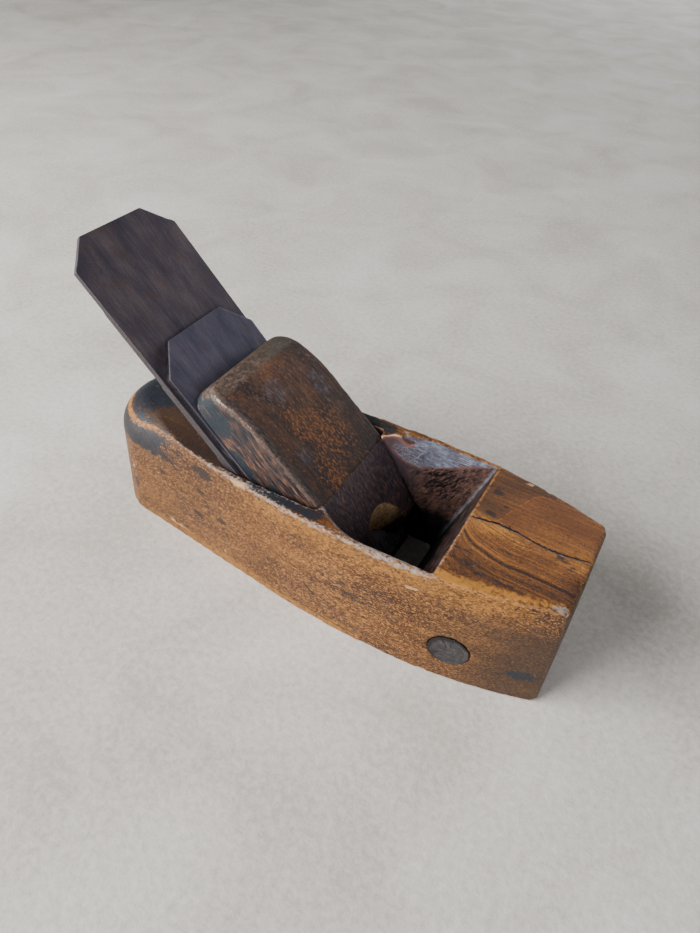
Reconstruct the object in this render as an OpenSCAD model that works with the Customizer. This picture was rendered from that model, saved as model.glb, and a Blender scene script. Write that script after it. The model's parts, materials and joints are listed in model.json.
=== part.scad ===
// Wooden smoothing plane: a coffin shaped beech stock with a double iron and a wedge.
// Origin: middle of the sole. +X points to the toe, +Z up. All sizes in millimetres.

/* [Stock] */
// Length of the stock from heel to toe
stock_l = 213; // [205:1:222]
// Height of the stock, sole to top
stock_h = 57; // [54:0.5:64]
// Width across the swell, at the widest part
stock_w = 70; // [68:0.5:76]
// Length of the curved flank from the swell to the toe
toe_curve_l = 71.6; // [60:0.2:76]
// Radius of that curve, seen from above
toe_curve_r = 221; // [205:1:300]
// Length of the swell that runs straight between the two curves
swell_l = 18; // [8:1:24]
// Radius of the short curve that leads into the heel taper
heel_curve_r = 200; // [120:5:260]
// Angle of each flank to the centre line towards the heel
heel_taper = 6.3; // [5.5:0.1:7]
// Radius of the upright corners at the heel
heel_corner_r = 20; // [14:0.5:22]
// Radius of the upright corners at the toe
toe_corner_r = 3; // [1:0.5:6]
// Rounding of the top arris across the heel
heel_arris_r = 12; // [8:0.5:14]
// Angle between the flank's top edge and its rim, where the rounding widens towards the heel
rim_turn = 2; // [1:0.1:3]
// Rounding of the top arris across the toe
toe_arris_r = 2; // [1:0.5:4]
// Rounding of the sole arris across both ends
sole_arris_r = 1.2; // [0.5:0.1:2]

/* [Bed and mouth] */
// Angle of the bed to the sole
bed_angle = 46; // [45:0.5:48]
// Distance from the toe to the front edge of the mouth
toe_to_mouth = 68; // [65:0.5:71]
// Length of the mouth through the sole, from the bed to its front edge
mouth_l = 18; // [16:0.5:20]
// Angle of the breast, the front wall of the throat, to the sole
breast_angle = 70; // [68:0.5:74]
// Gap between pieces that rest on each other: bed, cutting iron, cap iron and wedge
seat_gap = 0.02; // [0.01:0.01:0.05]
// Side play of the iron in its mortise, on each side
mortise_gap = 0.6; // [0.3:0.1:1.2]
// Width of the groove down the bed that clears the screw head
bed_groove_w = 22; // [21:0.5:26]
// Depth of that groove
bed_groove_d = 4.4; // [4:0.1:6]
// Clear length of that groove below the screw head
bed_groove_clear = 3; // [2:0.5:6]

/* [Throat cheeks] */
// Width across the throat at its top front corners
throat_w = 63.6; // [60:0.2:65]
// Angle at which each cheek opens towards the toe, seen from above
cheek_flare = 9.6; // [9:0.1:11]
// Angle at which each cheek leans outwards, going up
cheek_lean = 4.4; // [3:0.1:6]
// Opening angle of the foot of each cheek, where the abutment runs out at the mouth
foot_flare = 12.5; // [11:0.1:14]
// Angle at which that foot leans outwards, going down
foot_lean = 1.9; // [1:0.1:3]
// Lean of the splayed upper edge of each cheek from the vertical
splay_lean = 32; // [26:1:36]
// Straight length of the splay, back from the breast
splay_l = 28; // [22:1:32]
// Angle of the splay's upper edge to the centre line
splay_turn = 1.6; // [0:0.1:2]
// Radius of the eye, the rounded rear end of the splay
eye_r = 34; // [28:1:38]

/* [Side plug] */
// Diameter of the round plug let into the side
plug_d = 15.8; // [12:0.2:18]
// Depth of the plug
plug_l = 19; // [10:1:24]
// Distance from the toe to the centre of the plug
plug_from_toe = 35.8; // [30:0.2:42]
// Height of the plug's centre above the sole
plug_z = 18.3; // [14:0.1:24]
// Gap all round the plug in its hole
plug_gap = 0.05; // [0.02:0.01:0.1]

/* [Cutting iron] */
// Width of the cutting iron
iron_w = 54; // [50.8:0.1:55]
// Length of the cutting iron along its face, from the sole line
iron_l = 183; // [170:1:190]
// Thickness of the cutting iron at the sole line
iron_t = 4.8; // [4.2:0.1:5.2]
// Thickness of the cutting iron at its top end
iron_top_t = 2.1; // [1.8:0.1:2.6]
// Distance the cutting edge stands back from the sole line
edge_set = 0.6; // [0.4:0.1:1.5]
// Angle of the ground bevel to the face
bevel = 30; // [25:1:35]
// Clipped top corners, measured across the iron
iron_clip_w = 11; // [6:0.5:14]
// Clipped top corners, measured along the iron
iron_clip_l = 10.4; // [6:0.2:14]
// Thickness of the steel facing welded to the face
facing_t = 1.6; // [1.2:0.1:2]
// Length of the steel facing from the sole line
facing_l = 46; // [40:1:48]
// Width of the slot for the cap screw
slot_w = 9.2; // [8.8:0.1:10]
// Distance from the sole line to the lower end of the slot
slot_low = 50; // [49:0.5:52]
// Distance from the sole line to the centre of the keyhole at the slot's upper end
keyhole_s = 119; // [116:0.5:121]
// Side play of the screw head in the keyhole
keyhole_gap = 0.75; // [0.5:0.05:1]

/* [Cap iron] */
// Width of the cap iron
cap_w = 52; // [50:0.5:54]
// Distance from the sole line to the top end of the cap iron
cap_top = 134.7; // [133:0.1:140]
// Thickness of the cap iron
cap_t = 3.1; // [2.8:0.1:3.6]
// Distance the lip of the cap iron stands back from the cutting edge
cap_back = 1.5; // [0.8:0.1:2.5]
// Height of the hump over the plate
hump_h = 1.8; // [1.2:0.1:2.2]
// Radius of the hump
hump_r = 24; // [22:1:30]
// Clipped top corners, measured across the cap iron
cap_clip_w = 10.5; // [6:0.5:14]
// Clipped top corners, measured along the cap iron
cap_clip_l = 12; // [6:0.5:14]
// Height of the hollow under the hump
hollow_h = 1.9; // [1.2:0.1:2.2]
// Width of the flat on the lip that meets the cutting iron
lip_l = 1.2; // [0.8:0.1:1.6]

/* [Nut and screw] */
// Distance from the sole line to the cap screw's axis
screw_s = 62; // [60:0.5:64]
// Diameter of the screw's shank
screw_d = 8; // [7.5:0.1:8.2]
// Diameter of the screw's head
head_d = 19; // [18:0.5:19.5]
// Thickness of the screw's head
head_t = 2.8; // [2.4:0.1:3.2]
// Width of the driver slot across the head
driver_w = 1.6; // [1.2:0.1:2]
// Depth of the driver slot
driver_d = 1.3; // [1:0.1:1.6]
// Diameter of the brass nut's boss
boss_d = 14; // [13:0.5:16]
// Height of the boss over the cap iron
boss_h = 3; // [2.5:0.1:3.5]
// Diameter of the nut's spigot through the cap iron
spigot_d = 11; // [10.5:0.1:12]
// Running clearance round the screw in the nut
thread_gap = 0.06; // [0.03:0.01:0.09]
// Gap between the screw's head and the back of the cutting iron
head_gap = 0.25; // [0.2:0.05:0.4]

/* [Wedge] */
// Width of the wedge
wedge_w = 51; // [49:0.5:52]
// Greatest thickness of the wedge, at its shoulder
wedge_t = 23; // [21:0.5:24]
// Angle between the wedge's two faces, below the shoulder
wedge_angle = 12; // [10:0.5:13]
// Distance from the sole line to the shoulder
shoulder_s = 52; // [50:0.5:56]
// Distance from the sole line to the top end of the wedge
wedge_top = 112; // [104:1:118]
// Fall of the front face from the shoulder to the start of the crown
shoulder_fall = 2; // [1:0.1:3]
// Radius of the crown that rounds the front face over to the top end
crown_r = 50; // [45:1:70]
// Length of the crowned part, back from the top end
crown_l = 30; // [26:1:34]
// Radius of the top corners, seen from the front
wedge_corner_r = 7; // [3:0.5:10]
// Distance from the sole line to the prong tips
prong_tip = 9.5; // [8:0.5:12]
// Distance from the sole line to the front of the sniped prong ends
snipe_s = 17; // [15:0.5:20]
// Width of the arch between the prongs
arch_w = 31; // [28:0.5:32]
// Distance from the sole line to the top of the arch in the front face
arch_top = 32; // [29:0.5:35]
// Rake of the arch's wall to the square of the face
arch_rake = 36.5; // [30:0.5:40]
// Distance the arch stands off the centre line, towards the far side
arch_off = 1.5; // [0:0.1:2]
// Clearance of the wedge over the hump and round the nut's boss
wedge_gap = 0.6; // [0.4:0.1:1]
// Gap between the wedge and the abutments
abutment_gap = 0.25; // [0.22:0.01:0.35]

/* [Hidden] */
$fn = 120;
big_fn = 360;
// Length by which cutting shapes run past what they cut
over = 1;
reach = 60;
// Small overlap where a line runs into an arc, so that the two cross at one clean point
meet = 0.03;
// Distance that the foot of each cheek stands inside the mortise's wall at the mouth
foot_in = 0.15;

beech = [0.56, 0.38, 0.20];
end_grain = [0.25, 0.23, 0.22];
dark_iron = [0.27, 0.25, 0.28];
bright_steel = [0.38, 0.37, 0.40];
brass = [0.72, 0.58, 0.28];
dark_wood = [0.36, 0.22, 0.13];

// Places along the stock
toe_x = stock_l / 2;
heel_x = -stock_l / 2;
half_w = stock_w / 2;
toe_curve_x = toe_x - toe_curve_l;
heel_curve_x = toe_curve_x - swell_l;
taper_x = heel_curve_x - heel_curve_r * sin(heel_taper);
taper_half = half_w - heel_curve_r * (1 - cos(heel_taper));
heel_half = taper_half - (taper_x - heel_x) * tan(heel_taper);
toe_half = half_w - toe_curve_r + sqrt(pow(toe_curve_r, 2) - pow(toe_curve_l, 2));

// Bed, iron and mouth
mouth_x = toe_x - toe_to_mouth;
bed_x = mouth_x - mouth_l;
iron_taper = atan((iron_t - iron_top_t) / iron_l);
face_angle = bed_angle - iron_taper;
face_x = bed_x + (iron_t + seat_gap) / sin(bed_angle);
mortise_w = iron_w + 2 * mortise_gap;
throat_x = mouth_x + stock_h / tan(breast_angle);

// Cap iron and screw
lip_s = edge_set + cap_back;
hump_top_t = cap_t + hump_h;
hump_s = lip_s + sqrt(pow(hump_r, 2) - pow(hump_r - hump_top_t, 2));
hump_end_s = hump_s + sqrt(pow(hump_r, 2) - pow(hump_r - hump_h, 2));
hollow_l = hump_end_s - lip_s - 2 * lip_l;
hollow_r = (pow(hollow_l / 2, 2) + pow(hollow_h, 2)) / (2 * hollow_h);
keyhole_d = head_d + 2 * keyhole_gap;
boss_top_t = cap_t + boss_h;
nut_bore_d = screw_d + 2 * thread_gap;
screw_end_t = boss_top_t - 0.4;

// Wedge
shoulder_t = cap_t + wedge_t;
crown_s = wedge_top - crown_l;
crown_t = shoulder_t - shoulder_fall;
relief_t = hump_top_t + wedge_gap;
relief_s = hump_end_s + wedge_gap;
groove_w = boss_d + 2 * wedge_gap;
groove_t = boss_top_t + wedge_gap;
prong_tip_t = relief_t + 1.2;

// Height over the face of the back of the cutting iron, at a distance s along it
function back_t(s) = s * tan(iron_taper) - iron_t / cos(iron_taper);
// Height over the face of the front of the wedge below its shoulder
function front_t(s) = shoulder_t - (shoulder_s - s) * tan(wedge_angle);

// Turns a frame so that its X runs up a slope that faces the toe and its Z stands square off it
module up_slope(angle) {
    rotate([0, angle, 0]) rotate([0, 0, 180]) children();
}

// Frame of the cutting iron's face: X up the face from the sole line, Z off the face
module on_face() {
    translate([face_x, 0, 0]) up_slope(face_angle) children();
}

// Frame of the cap iron's underside, and of the wedge at rest on the cap iron
module on_cap() {
    on_face() translate([0, 0, seat_gap]) children();
}
module on_wedge() {
    on_face() translate([0, 0, 2 * seat_gap]) children();
}

// Frame of the bed
module on_bed() {
    translate([bed_x, 0, 0]) up_slope(bed_angle) children();
}

// A profile drawn in X and Z, made into a solid of width w about the centre plane
module slab(w) {
    rotate([90, 0, 0]) linear_extrude(w, center = true) children();
}

// Both sides of something that is made for the +Y side
module both_sides() {
    children();
    mirror([0, 1, 0]) children();
}

// Plan of the stock: toe curve, straight swell, short heel curve and heel taper
module coffin_plan() {
    intersection() {
        translate([toe_curve_x, half_w - toe_curve_r]) circle(toe_curve_r, $fn = big_fn);
        translate([toe_curve_x, toe_curve_r - half_w]) circle(toe_curve_r, $fn = big_fn);
        translate([toe_curve_x, -half_w]) square([toe_curve_l, stock_w]);
    }
    translate([heel_curve_x, -half_w]) square([swell_l, stock_w]);
    intersection() {
        translate([heel_curve_x, half_w - heel_curve_r]) circle(heel_curve_r, $fn = big_fn);
        translate([heel_curve_x, heel_curve_r - half_w]) circle(heel_curve_r, $fn = big_fn);
        translate([taper_x - heel_curve_r / 20, -half_w])
            square([heel_curve_x - taper_x + heel_curve_r / 20, stock_w]);
    }
    polygon([
        [taper_x, taper_half - meet], [heel_x, heel_half - meet],
        [heel_x, meet - heel_half], [taper_x, meet - taper_half]
    ]);
}

// What is taken off the +Y corner at the heel, so that the flank runs into the end on an arc
module heel_corner() {
    c = [heel_x + heel_corner_r, heel_half - heel_corner_r * (1 - sin(heel_taper)) / cos(heel_taper)];
    difference() {
        polygon([
            [heel_x - over, heel_half + over], [heel_x - over, c[1]], c,
            c + (heel_corner_r + over) * [-sin(heel_taper), cos(heel_taper)]
        ]);
        translate(c) circle(heel_corner_r + meet);
    }
}

// The same at the toe, where the arc lies inside the toe curve
module toe_corner() {
    c = [toe_x - toe_corner_r, half_w - toe_curve_r
        + sqrt(pow(toe_curve_r - toe_corner_r, 2) - pow(toe_curve_l - toe_corner_r, 2))];
    away = atan2(c[1] - half_w + toe_curve_r, c[0] - toe_curve_x);
    difference() {
        polygon([
            [toe_x + over, c[1]], [toe_x + over, toe_half + toe_corner_r + over],
            c + (toe_corner_r + over) * [cos(away), sin(away)], c
        ]);
        translate(c) circle(toe_corner_r + meet);
    }
}

// Side view of the stock, with the arrises across both ends rounded
module stock_side() {
    module arris(x, z, r, sx, sz) {
        difference() {
            translate([x - (sx > 0 ? r : over), z - (sz > 0 ? r : over)]) square(r + over);
            translate([x - sx * r, z - sz * r]) circle(r);
        }
    }
    difference() {
        translate([heel_x, 0]) square([stock_l, stock_h]);
        arris(heel_x, stock_h, heel_arris_r, -1, 1);
        arris(toe_x, stock_h, toe_arris_r, 1, 1);
        arris(heel_x, 0, sole_arris_r, -1, -1);
        arris(toe_x, 0, sole_arris_r, 1, -1);
    }
}

// What is taken off the +Y flank's top arris: a rounding that widens from the swell to the heel
module flank_arris() {
    run = stock_l;
    along = sqrt(1 - 2 * pow(sin(rim_turn), 2));
    tilt = atan(sin(rim_turn) / (sqrt(2) * along));
    translate([taper_x, taper_half + meet, stock_h + meet]) rotate([0, 0, 180 + heel_taper])
        difference() {
            rotate([45, 0, 0]) rotate([0, tilt, 0])
                translate([0, -reach, 0]) cube([run, 2 * reach, reach]);
            rotate([0, 90, atan(sin(rim_turn) / along)]) rotate([0, rim_turn, 0])
                cylinder(r1 = 0, r2 = 1.2 * run * tan(rim_turn), h = 1.2 * run);
        }
}

// The stock before the throat is cut
module stock_blank() {
    difference() {
        intersection() {
            translate([0, 0, -over]) linear_extrude(stock_h + 2 * over) difference() {
                coffin_plan();
                both_sides() {
                    heel_corner();
                    toe_corner();
                }
            }
            slab(stock_w + 2 * over) stock_side();
        }
        both_sides() flank_arris();
    }
}

// Space between the bed and the breast, right across the stock
module throat_space() {
    top = stock_h + over;
    slab(stock_w) polygon([
        [bed_x + over / tan(bed_angle), -over], [bed_x - top / tan(bed_angle), top],
        [mouth_x + top / tan(breast_angle), top], [mouth_x - over / tan(breast_angle), -over]
    ]);
}

// Mortise between the side walls, from behind the bed to the abutments' bearing faces
module mortise() {
    gap = abutment_gap / cos(wedge_angle);
    low = -reach / 2;
    high = 2 * reach;
    on_wedge() slab(mortise_w) polygon([
        [low, back_t(low) - over], [high, back_t(high) - over],
        [high, front_t(high) + gap], [low, front_t(low) + gap]
    ]);
}

// Everything on the inner side of a cheek face that passes through a point
module inside_cheek(point, flare, lean) {
    translate(point) rotate([-lean, 0, flare])
        translate([-3 * reach, -2 * reach, -3 * reach]) cube([6 * reach, 2 * reach, 6 * reach]);
}

// Opening between the flared cheeks, and between their feet at the mouth
module cheeks() {
    intersection() {
        inside_cheek([throat_x, throat_w / 2, stock_h], cheek_flare, cheek_lean);
        mirror([0, 1, 0]) inside_cheek([throat_x, throat_w / 2, stock_h], cheek_flare, cheek_lean);
    }
    intersection() {
        inside_cheek([mouth_x, mortise_w / 2 - foot_in, 0], foot_flare, -foot_lean);
        mirror([0, 1, 0])
            inside_cheek([mouth_x, mortise_w / 2 - foot_in, 0], foot_flare, -foot_lean);
    }
}

// Splayed upper edge of the +Y cheek, with the eye at its rear end
module splay() {
    rise = splay_l * tan(splay_turn);
    intersection() {
        translate([throat_x, throat_w / 2, stock_h]) rotate([-splay_lean, 0, 0])
            translate([0, 0, -reach]) linear_extrude(2 * reach) {
                polygon([
                    [over, -over * tan(splay_turn)], [-splay_l, rise],
                    [-splay_l, rise - eye_r], [over, rise - eye_r]
                ]);
                translate([-splay_l, rise - eye_r]) circle(eye_r + meet);
            }
        translate([-2 * reach, 0, 0]) cube([4 * reach, reach, 2 * reach]);
    }
}

// Groove down the bed for the head of the cap screw, open at the top of the stock
module bed_groove() {
    // Distances up the bed from the sole: the screw's axis, and the centre of the groove's round end
    screw_b = screw_s * cos(iron_taper) - iron_t / tan(bed_angle);
    low = screw_b - head_d / 2 - bed_groove_clear + bed_groove_w / 2;
    on_bed() translate([0, 0, -bed_groove_d]) {
        translate([low, 0, 0]) cylinder(d = bed_groove_w, h = bed_groove_d + over);
        translate([low, -bed_groove_w / 2, 0]) cube([2 * reach, bed_groove_w, bed_groove_d + over]);
    }
}

// Axis of the side plug, drawn as a cylinder that runs in from the near side
module plug_bar(d, l) {
    x = toe_x - plug_from_toe;
    flank = half_w - toe_curve_r + sqrt(pow(toe_curve_r, 2) - pow(x - toe_curve_x, 2));
    translate([x, plug_l - flank, plug_z]) rotate([90, 0, 0]) cylinder(d = d, h = l);
}

module stock() {
    color(beech) difference() {
        stock_blank();
        intersection() {
            throat_space();
            union() {
                mortise();
                cheeks();
                both_sides() splay();
            }
        }
        bed_groove();
        plug_bar(plug_d + 2 * plug_gap, plug_l + reach);
    }
}

module side_plug() {
    color(end_grain) intersection() {
        plug_bar(plug_d, plug_l + reach);
        stock_blank();
    }
}

// Plate outline with two clipped top corners, seen square to the face
module clipped_plan(from, to, w, clip_w, clip_l) {
    polygon([
        [from, -w / 2], [to - clip_l, -w / 2], [to, clip_w - w / 2],
        [to, w / 2 - clip_w], [to - clip_l, w / 2], [from, w / 2]
    ]);
}

// Side view of the cutting iron: taper, ground bevel, and the step for the steel facing
module iron_side() {
    // Where the ground bevel comes out on the back and at the underside of the facing
    heel_s = (edge_set * tan(bevel) + iron_t / cos(iron_taper)) / (tan(bevel) + tan(iron_taper));
    weld_s = edge_set + facing_t / tan(bevel);
    polygon([
        [weld_s, -facing_t], [facing_l - facing_t, -facing_t], [facing_l, 0], [iron_l, 0],
        [iron_l, back_t(iron_l)], [heel_s, back_t(heel_s)]
    ]);
}

// Keyhole slot for the cap screw
module screw_slot() {
    translate([0, 0, -2 * iron_t]) linear_extrude(3 * iron_t) {
        translate([slot_low + slot_w / 2, 0]) circle(d = slot_w);
        translate([slot_low + slot_w / 2, -slot_w / 2])
            square([keyhole_s - slot_low - slot_w / 2, slot_w]);
        translate([keyhole_s, 0]) circle(d = keyhole_d);
    }
}

module cutting_iron() {
    color(dark_iron) on_face() difference() {
        intersection() {
            slab(iron_w) iron_side();
            translate([0, 0, -2 * iron_t]) linear_extrude(3 * iron_t)
                clipped_plan(0, iron_l, iron_w, iron_clip_w, iron_clip_l);
        }
        screw_slot();
    }
}

module steel_facing() {
    color(bright_steel) on_face() slab(iron_w) polygon([
        [edge_set, 0], [facing_l, 0], [facing_l - facing_t, -facing_t],
        [edge_set + facing_t / tan(bevel), -facing_t]
    ]);
}

// Side view of the cap iron: flat plate, hump, and the hollow that springs the lip down
module cap_side() {
    difference() {
        union() {
            translate([hump_s, 0]) square([cap_top - hump_s, cap_t]);
            intersection() {
                translate([hump_s, hump_top_t - hump_r]) circle(hump_r, $fn = big_fn);
                translate([lip_s, 0]) square([hump_end_s - lip_s + over, hump_top_t]);
            }
        }
        translate([lip_s + lip_l + hollow_l / 2, hollow_h - hollow_r]) circle(hollow_r, $fn = big_fn);
    }
}

module cap_iron() {
    color(dark_iron) on_cap() difference() {
        intersection() {
            slab(cap_w) cap_side();
            translate([0, 0, -over]) linear_extrude(hump_top_t + 2 * over)
                clipped_plan(0, cap_top, cap_w, cap_clip_w, cap_clip_l);
        }
        translate([screw_s, 0, -over]) cylinder(d = spigot_d, h = cap_t + 2 * over);
    }
}

// Brass nut: a round boss on the cap iron with a spigot riveted through it
module cap_nut() {
    round_over = 0.5;
    color(brass) on_cap() translate([screw_s, 0, 0]) difference() {
        rotate_extrude() polygon([
            [0, 0], [spigot_d / 2, 0], [spigot_d / 2, cap_t], [boss_d / 2, cap_t],
            [boss_d / 2, boss_top_t - round_over], [boss_d / 2 - round_over, boss_top_t], [0, boss_top_t]
        ]);
        translate([0, 0, -over]) cylinder(d = nut_bore_d, h = boss_top_t + 2 * over);
    }
}

module cap_screw() {
    edge = 0.6;
    head_top_t = back_t(screw_s) - head_gap;
    color(dark_iron) on_face() translate([screw_s, 0, 0]) difference() {
        rotate_extrude() polygon([
            [0, head_top_t - head_t], [head_d / 2 - edge, head_top_t - head_t],
            [head_d / 2, head_top_t - head_t + edge], [head_d / 2, head_top_t],
            [screw_d / 2, head_top_t], [screw_d / 2, screw_end_t - edge],
            [screw_d / 2 - edge, screw_end_t], [0, screw_end_t]
        ]);
        translate([-head_d, -driver_w / 2, head_top_t - head_t - over])
            cube([2 * head_d, driver_w, driver_d + over]);
    }
}

// Side view of the wedge: tapered prongs below the shoulder and a crowned top end
module wedge_side() {
    polygon([
        [prong_tip, relief_t], [relief_s - relief_t + cap_t, relief_t], [relief_s, cap_t],
        [crown_s, cap_t], [crown_s, crown_t], [shoulder_s, shoulder_t],
        [snipe_s, front_t(snipe_s)], [prong_tip, prong_tip_t]
    ]);
    intersection() {
        translate([crown_s, crown_t - crown_r]) circle(crown_r, $fn = big_fn);
        translate([crown_s, cap_t]) square([wedge_top - crown_s, shoulder_t]);
    }
}

// Front view of the wedge, with its top corners rounded
module wedge_front() {
    r = wedge_corner_r;
    translate([0, -wedge_w / 2]) square([wedge_top - r, wedge_w]);
    translate([0, r - wedge_w / 2]) square([wedge_top, wedge_w - 2 * r]);
    for (side = [-1, 1]) translate([wedge_top - r, side * (wedge_w / 2 - r)]) circle(r);
}

// The arch between the prongs: a round wall, raked so that its edge is thin at the cap iron
module arch() {
    translate([arch_top, -arch_off, front_t(arch_top)]) rotate([0, arch_rake, 0])
        translate([-arch_w / 2, 0, -reach]) {
            cylinder(d = arch_w, h = 2 * reach);
            translate([-reach, -arch_w / 2, 0]) cube([reach, arch_w, 2 * reach]);
        }
}

// Groove under the wedge that clears the nut's boss and opens into the arch
module nut_groove() {
    translate([0, 0, -over]) {
        translate([screw_s, 0, 0]) cylinder(d = groove_w, h = groove_t + over);
        translate([0, -groove_w / 2, 0]) cube([screw_s, groove_w, groove_t + over]);
    }
}

module wedge() {
    color(dark_wood) on_wedge() difference() {
        intersection() {
            slab(wedge_w) wedge_side();
            linear_extrude(2 * reach) wedge_front();
        }
        arch();
        nut_groove();
    }
}

stock();
side_plug();
cutting_iron();
steel_facing();
cap_iron();
cap_nut();
cap_screw();
wedge();
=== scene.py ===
import json
import math

import bpy
import numpy as np
from mathutils import Matrix, Vector


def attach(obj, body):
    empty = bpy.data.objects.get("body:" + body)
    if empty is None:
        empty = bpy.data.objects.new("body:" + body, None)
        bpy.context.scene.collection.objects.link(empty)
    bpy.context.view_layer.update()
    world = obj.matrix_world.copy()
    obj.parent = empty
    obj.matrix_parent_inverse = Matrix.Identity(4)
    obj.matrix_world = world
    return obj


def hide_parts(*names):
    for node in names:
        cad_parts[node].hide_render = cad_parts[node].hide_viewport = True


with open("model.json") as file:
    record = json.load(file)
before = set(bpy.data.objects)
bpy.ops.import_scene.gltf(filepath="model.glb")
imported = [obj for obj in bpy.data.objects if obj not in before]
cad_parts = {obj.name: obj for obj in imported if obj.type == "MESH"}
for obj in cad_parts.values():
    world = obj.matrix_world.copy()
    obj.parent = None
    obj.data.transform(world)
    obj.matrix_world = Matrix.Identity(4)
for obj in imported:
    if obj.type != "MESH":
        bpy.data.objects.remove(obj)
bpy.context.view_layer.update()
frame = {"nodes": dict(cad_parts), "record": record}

# The shaping works in metres, and its lengths in millimetres are written times MM. The materials,
# the drawn lines and the tables of places are in millimetres.
MM = 0.001
# The millimetres between the lowest and the highest that a drawn line can go, half of them below 0
LINE_REACH = 60.0
# The dense copies: the size of their cells, and the most triangles that one of them keeps
STOCK_GRID = 0.7 * MM
SMALL_GRID = 0.5 * MM
FACE_LIMIT = 195000

# The iron's face, from the joints in the record: up it, off it, and its foot below the screw
JOINTS = {j["name"]: j for j in frame["record"]["behaviour"]["joints"]}
UP_FACE = Vector(JOINTS["cap_set"]["axis"])
OFF_FACE = Vector(JOINTS["cap_screw_turn"]["axis"])
SCREW_UP_FACE = 62 * MM
FACE_FOOT = Vector(JOINTS["cap_screw_turn"]["pos_m"]) - UP_FACE * SCREW_UP_FACE

# The stock: its height, the end of its heel, and the straight taper of its flanks, with half the
# width TAPER_HALF at TAPER_X
STOCK_HEIGHT = 57 * MM
HEEL_X = -106.5 * MM
FLANK_TAPER = math.tan(math.radians(6.3))
TAPER_X = -5.05 * MM
TAPER_HALF = 33.79 * MM
# The shaved heel: how far its end leans in, its top arris and where that dies away, and the radius
# of its upright corners in millimetres, at the sole and what it gains up to the top. The middle of
# a corner lies CORNER_SLANT times its radius in from the tapered flank
HEEL_LEAN = 2.2 * MM
HEEL_ARRIS = 13 * MM
HEEL_FADE_X = -10 * MM
CORNER_RADIUS, CORNER_GAIN = 21, 4
CORNER_SLANT = 1.006
# Half the stock's width at some places near the toe, pairs of X and Y
TOE_FLANK = ((30, 34.9), (60, 33.2), (85, 28.9), (106, 24))

# The throat: where its breast and its bed meet the sole, their slopes, and half its width
BREAST_X = 38.5 * MM
BREAST_SLOPE = math.tan(math.radians(70))
BED_X = 20.5 * MM
BED_SLOPE = math.tan(math.radians(46))
CHEEK_FROM_X = 20 * MM
CHEEK_TO_X = 59.2 * MM
CHEEK_HALF = 31.9 * MM
CHEEK_FLARE = 0.17
MORTISE_HALF = 27.7 * MM

# The side plug's middle, and the radii between which the gap round it darkens, in millimetres
PLUG_X, PLUG_Z = 70.7, 18.3
PLUG_GAP = (7.9, 8.5)

# Lines drawn on the stock. The crack along the toe, the edge of the smooth tongue beside it, the
# split at the eye and the shake along the toe's near half: pairs of X and Y. The seam along the
# near side's foot and the dark scratch over it: pairs of X and Z
CRACK = [(56, 0.5), (62.7, 1.6), (70.6, 3.0), (78.6, 2.6), (86.8, 1.1), (94.2, 1.0), (106.5, 3.4)]
TONGUE = [
    (56, -1), (68.5, 3.3), (72.1, 11.7), (75.4, 19.4), (77.3, 23.2), (82.3, 26.2), (106.5, 24)]
SPLIT = [(6, 20.5), (9.1, 23.2), (12.5, 26.4), (16, 28.2), (21.4, 29.3), (24, 31.2)]
SHAKE = [
    (56, -2), (60.8, -7.4), (65.1, -11), (69.7, -12.6), (78.5, -14.7), (86.5, -14.4), (106.5, -15)]
SEAM = [(-14, 5.4), (-4, 4.4), (7, 5.4), (20, 3.6), (33, 3.4), (48, 2.6)]
SCRATCH = [(7.4, 21.2), (10.4, 18.4), (12.6, 16.8), (15.4, 13.4)]
CRACK_DEPTH = 0.5 * MM

# Places on the stock, each with its middle and its half sizes along X, Y and Z
GOUGE_PLACES = [((38, 27, 42), (13, 8, 12)), ((30, 27, 47), (6, 8, 5))]
STAIN_PLACES = [
    ((-65.5, -27, 46.1), (5, 3, 1.8)), ((-70, -26.6, 35.3), (4, 3, 1.6)),
    ((-47, -29, 37.6), (3.4, 3, 2)), ((-90, -24.4, 17.7), (3, 3, 6)),
    ((-36, -30.3, 27), (4, 3, 2)), ((-50, -28.8, 22.7), (4, 3, 2)), ((-44, -29.5, 50), (9, 3, 4)),
    ((12, -34.8, 17), (7, 3, 1.2)), ((100.5, -3.6, 57), (3, 2, 2)), ((96, -1.5, 57), (5, 2, 2)),
    ((66, -21, 57), (8, 1.6, 2)), ((80, -23, 57), (12, 1.4, 2)), ((63, -16, 57), (7, 1.2, 2)),
    ((90, -18, 57), (14, 1, 2)), ((64, 19, 57), (3.4, 3, 2)), ((66, 6, 57), (4, 1.8, 2)),
    ((76, -9, 57), (8, 1, 2)), ((72, -24, 57), (6, 2, 2))]
BROAD_STAIN_PLACES = [
    ((-64, -27, 48), (38, 7, 12)), ((-66, -27, 49), (24, 7, 7)), ((-104, -8, 34), (6, 18, 26)),
    ((-50, -29, 26), (26, 5, 16)), ((26, -35, 30), (28, 5, 12))]
PAINT_PLACES = [
    ((-90, -2, 57), (20, 22, 5)), ((97.8, -25.5, 16), (9, 5, 3.5)), ((-62, -5, 57), (14, 7, 3)),
    ((-90, -20, 54), (16, 6, 4))]
# Pale places: worn wood with painted glints
PALE_PLACES = [
    ((94.7, 0.9, 57), (1.6, 1.2, 1)), ((102.5, -22.5, 56), (4, 2.5, 3)),
    ((18, 31, 56), (2.5, 2, 3))]
CHIP_PLACES = [
    ((-68, -26.8, 6), (4, 3, 1.6)), ((-62, -27.5, 6), (5, 3, 1.6)),
    ((-37, -30.3, 8.5), (6, 3, 0.7)), ((-24, -31.5, 56), (5, 3, 3)),
    ((52, -34.2, 47.4), (5, 2, 1.4)), ((73.6, 29.3, 57), (2.4, 1.3, 1.5)),
    ((-90.4, -24.3, 26.8), (2, 2, 2))]

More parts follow.
